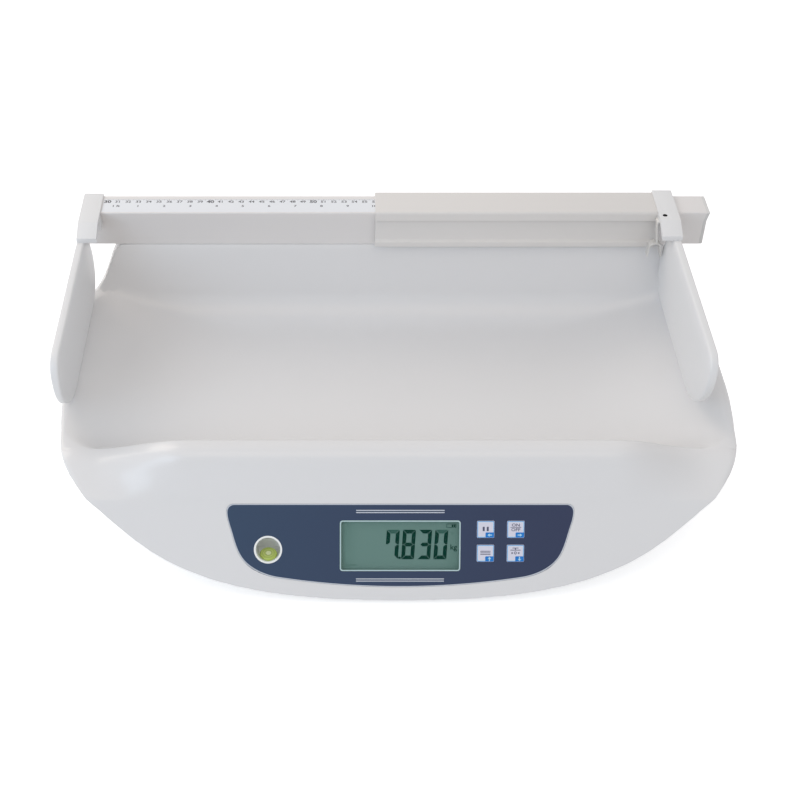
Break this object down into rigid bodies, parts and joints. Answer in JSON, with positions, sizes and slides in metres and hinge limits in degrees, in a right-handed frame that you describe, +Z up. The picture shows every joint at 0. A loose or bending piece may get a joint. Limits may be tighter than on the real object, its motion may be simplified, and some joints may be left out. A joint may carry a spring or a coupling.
{
  "type": "baby weighing scale",
  "caption": "Digital baby scale: one-piece tray with display console, measuring rod with fixed head stop and sliding foot stop, on levelling feet.",
  "frame": {"origin": "middle of the whole object's footprint, on the surface that its feet stand on", "axes": "+X along the tray towards the foot stop, +Y to the back, +Z up"},
  "size_m": [0.612, 0.3691, 0.188],
  "materials": {
    "shell_white": "satin white moulding",
    "panel_navy": "printed foil, satin",
    "clear_window": "clear",
    "lcd_glass": "grey-green liquid crystal",
    "board_green": "solder mask",
    "zinc_steel": "zinc plated",
    "switch_black": "moulded",
    "vial_green": "tinted vial",
    "inlet_black": "moulded",
    "rod_white": "satin powder coat",
    "ruler_print": "printed strip",
    "plug_grey": "moulded",
    "stop_white": "satin moulding",
    "spring_white": "coated spring steel",
    "base_grey": "textured moulding",
    "cell_aluminium": "milled",
    "cast_aluminium": "cast",
    "battery_can": "wrapped can",
    "key_white": "printed key",
    "insert_brass": "turned",
    "foot_black": "moulded",
    "foot_rubber": "matt"
  },
  "bodies": {
    "scale": {"tray_shell": "shell_white", "panel_foil": "panel_navy", "display_lens": "clear_window", "lcd_module": "lcd_glass", "display_board": "board_green", "board_screws": "zinc_steel", "key_switches": "switch_black", "level_cup": "shell_white", "level_vial": "vial_green", "dc_inlet": "inlet_black", "measuring_rod": "rod_white", "ruler_strip": "ruler_print", "rod_plug": "plug_grey", "rod_brackets": "zinc_steel", "bracket_screws": "zinc_steel", "head_stop_arm": "stop_white", "head_stop_blade": "stop_white", "head_stop_screw": "zinc_steel", "base_pan": "base_grey", "base_frame": "zinc_steel", "load_cell": "cell_aluminium", "cell_spacers": "cell_aluminium", "cell_bolts": "zinc_steel", "load_spider": "cast_aluminium", "battery_box": "base_grey", "battery_cells": "battery_can", "foot_insert_front_left": "insert_brass", "foot_insert_front_right": "insert_brass", "foot_insert_back_left": "insert_brass", "foot_insert_back_right": "insert_brass"},
    "foot_stop": {"slider_sleeve": "rod_white", "foot_stop_arm": "stop_white", "foot_stop_blade": "stop_white", "brake_spring": "spring_white", "brake_screw": "zinc_steel"},
    "key_left": {"key_left": "key_white"},
    "key_right": {"key_right": "key_white"},
    "key_up": {"key_up": "key_white"},
    "key_down": {"key_down": "key_white"},
    "battery_cover": {"battery_cover": "base_grey"},
    "foot_pad_front_left": {"foot_pad_front_left": "foot_rubber"},
    "foot_stud_front_left": {"foot_stud_front_left": "foot_black"},
    "foot_pad_front_right": {"foot_pad_front_right": "foot_rubber"},
    "foot_stud_front_right": {"foot_stud_front_right": "foot_black"},
    "foot_pad_back_left": {"foot_pad_back_left": "foot_rubber"},
    "foot_stud_back_left": {"foot_stud_back_left": "foot_black"},
    "foot_pad_back_right": {"foot_pad_back_right": "foot_rubber"},
    "foot_stud_back_right": {"foot_stud_back_right": "foot_black"}
  },
  "joints": [
    {"name": "foot_stop_slide", "type": "slide", "parent": "scale", "child": "foot_stop", "axis": [1, 0, 0], "range_m": [-0.26, 0.24]},
    {"name": "key_left_press", "type": "slide", "parent": "scale", "child": "key_left", "axis": [0, 0.829, -0.5592], "range_m": [0, 0.0006], "stiffness_N_per_m": 1500},
    {"name": "key_right_press", "type": "slide", "parent": "scale", "child": "key_right", "axis": [0, 0.829, -0.5592], "range_m": [0, 0.0006], "stiffness_N_per_m": 1500},
    {"name": "key_up_press", "type": "slide", "parent": "scale", "child": "key_up", "axis": [0, 0.829, -0.5592], "range_m": [0, 0.0006], "stiffness_N_per_m": 1500},
    {"name": "key_down_press", "type": "slide", "parent": "scale", "child": "key_down", "axis": [0, 0.829, -0.5592], "range_m": [0, 0.0006], "stiffness_N_per_m": 1500},
    {"name": "battery_cover_slide", "type": "slide", "parent": "scale", "child": "battery_cover", "axis": [0, 1, 0], "range_m": [0, 0.008]},
    {"name": "foot_front_left_lift", "type": "slide", "parent": "scale", "child": "foot_pad_front_left", "axis": [0, 0, -1], "range_m": [0, 0.006]},
    {"name": "foot_front_left_turn", "type": "hinge", "parent": "foot_pad_front_left", "child": "foot_stud_front_left", "pos_m": [-0.15, -0.112, 0.0125], "axis": [0, 0, -1], "range_deg": [0, 1727]},
    {"name": "foot_front_right_lift", "type": "slide", "parent": "scale", "child": "foot_pad_front_right", "axis": [0, 0, -1], "range_m": [0, 0.006]},
    {"name": "foot_front_right_turn", "type": "hinge", "parent": "foot_pad_front_right", "child": "foot_stud_front_right", "pos_m": [0.15, -0.112, 0.0125], "axis": [0, 0, -1], "range_deg": [0, 1727]},
    {"name": "foot_back_left_lift", "type": "slide", "parent": "scale", "child": "foot_pad_back_left", "axis": [0, 0, -1], "range_m": [0, 0.006]},
    {"name": "foot_back_left_turn", "type": "hinge", "parent": "foot_pad_back_left", "child": "foot_stud_back_left", "pos_m": [-0.15, 0.138, 0.0125], "axis": [0, 0, -1], "range_deg": [0, 1727]},
    {"name": "foot_back_right_lift", "type": "slide", "parent": "scale", "child": "foot_pad_back_right", "axis": [0, 0, -1], "range_m": [0, 0.006]},
    {"name": "foot_back_right_turn", "type": "hinge", "parent": "foot_pad_back_right", "child": "foot_stud_back_right", "pos_m": [0.15, 0.138, 0.0125], "axis": [0, 0, -1], "range_deg": [0, 1727]}
  ],
  "couplings": [
    {"joint": "foot_front_left_lift", "follows": "foot_front_left_turn", "m_per_rad": 0.00019894},
    {"joint": "foot_front_right_lift", "follows": "foot_front_right_turn", "m_per_rad": 0.00019894},
    {"joint": "foot_back_left_lift", "follows": "foot_back_left_turn", "m_per_rad": 0.00019894},
    {"joint": "foot_back_right_lift", "follows": "foot_back_right_turn", "m_per_rad": 0.00019894}
  ]
}
